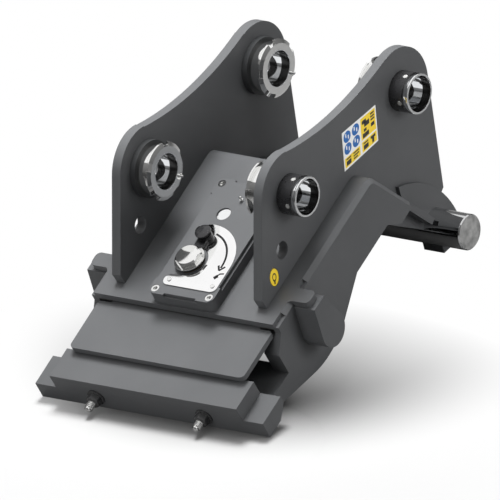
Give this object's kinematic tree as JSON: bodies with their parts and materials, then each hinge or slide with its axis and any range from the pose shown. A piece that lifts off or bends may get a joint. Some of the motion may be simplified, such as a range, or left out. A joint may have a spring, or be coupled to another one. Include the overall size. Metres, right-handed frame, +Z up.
{
  "type": "excavator quick coupler",
  "caption": "Manual quick coupler: two ears with pin sleeves on a bent plate, jaw with a sliding wedge under a lever lock, and a hinge shaft in open hub arms.",
  "frame": {"origin": "Centre of the front pin bore, halfway between the two ears.", "axes": "+X back from the beam to the hinge shaft, +Y to the left along the pin bores, +Z up from the ground to the ears."},
  "size_m": [0.5896, 0.3864, 0.3199],
  "materials": {
    "painted_steel": "satin dark grey paint",
    "chrome_sleeve": "ground and hard-chromed",
    "bright_steel": "zinc-plated",
    "ground_shaft": "ground and chromed shaft",
    "machined_steel": "machined, lightly oiled",
    "dark_steel": "blackened",
    "polished_sheet": "polished stainless sheet",
    "wear_plastic": "moulded, dry-running",
    "bush_bronze": "machined bronze",
    "black_lever": "black powder coat"
  },
  "bodies": {
    "frame": {"top_plate": "painted_steel", "side_plate_left": "painted_steel", "side_plate_right": "painted_steel", "hub_arm_left": "painted_steel", "hub_arm_right": "painted_steel", "ear_left": "painted_steel", "ear_right": "painted_steel", "lug_left": "painted_steel", "lug_right": "painted_steel", "edge_weld_left": "painted_steel", "edge_weld_right": "painted_steel", "wedge_rail_left": "painted_steel", "wedge_rail_right": "painted_steel", "sleeve_front_left": "chrome_sleeve", "sleeve_front_right": "chrome_sleeve", "sleeve_rear_left": "chrome_sleeve", "sleeve_rear_right": "chrome_sleeve", "round_nut_front_left": "bright_steel", "round_nut_front_right": "bright_steel", "round_nut_rear_left": "bright_steel", "round_nut_rear_right": "bright_steel", "collar_front_left": "dark_steel", "collar_front_right": "dark_steel", "collar_rear_left": "dark_steel", "collar_rear_right": "dark_steel", "boss_ring_front_left": "painted_steel", "boss_ring_front_right": "painted_steel", "boss_ring_rear_left": "painted_steel", "boss_ring_rear_right": "painted_steel", "set_screws": "bright_steel", "grease_nipples": "bright_steel", "hinge_shaft": "ground_shaft", "front_beam": "painted_steel", "floor_plate": "painted_steel", "cross_rib": "painted_steel", "stud_bolts": "bright_steel", "stud_washers": "dark_steel", "stud_nuts": "dark_steel", "wear_pads": "wear_plastic", "spindle_bush": "bush_bronze", "lock_housing": "painted_steel", "housing_cover": "painted_steel", "cover_screws": "bright_steel", "sight_plug": "chrome_sleeve", "indicator_plate": "polished_sheet", "indicator_rivets": "bright_steel"},
    "lock_spindle": {"spindle": "bright_steel", "pinion": "machined_steel", "pinion_washer": "machined_steel", "pinion_bolt": "machined_steel", "lever": "black_lever"},
    "wedge": {"wedge_plate": "painted_steel", "rack": "machined_steel", "rack_screws": "machined_steel"},
    "plunger": {"plunger_pin": "machined_steel", "plunger_knob": "black_lever"}
  },
  "joints": [
    {"name": "lever_turn", "type": "hinge", "parent": "frame", "child": "lock_spindle", "pos_m": [-0.06779, 0.016, -0.09126], "axis": [0.2874, 0, -0.9578], "range_deg": [0, 95]},
    {"name": "wedge_slide", "type": "slide", "parent": "frame", "child": "wedge", "axis": [0.9578, 0, 0.2874], "range_m": [0, 0.0497]},
    {"name": "plunger_lift", "type": "slide", "parent": "lock_spindle", "child": "plunger", "axis": [-0.2874, 0, 0.9578], "range_m": [0, 0.006], "stiffness_N_per_m": 800, "springref_m": -0.001}
  ],
  "couplings": [
    {"joint": "lever_turn", "follows": "wedge_slide", "rad_per_m": 33.333}
  ]
}
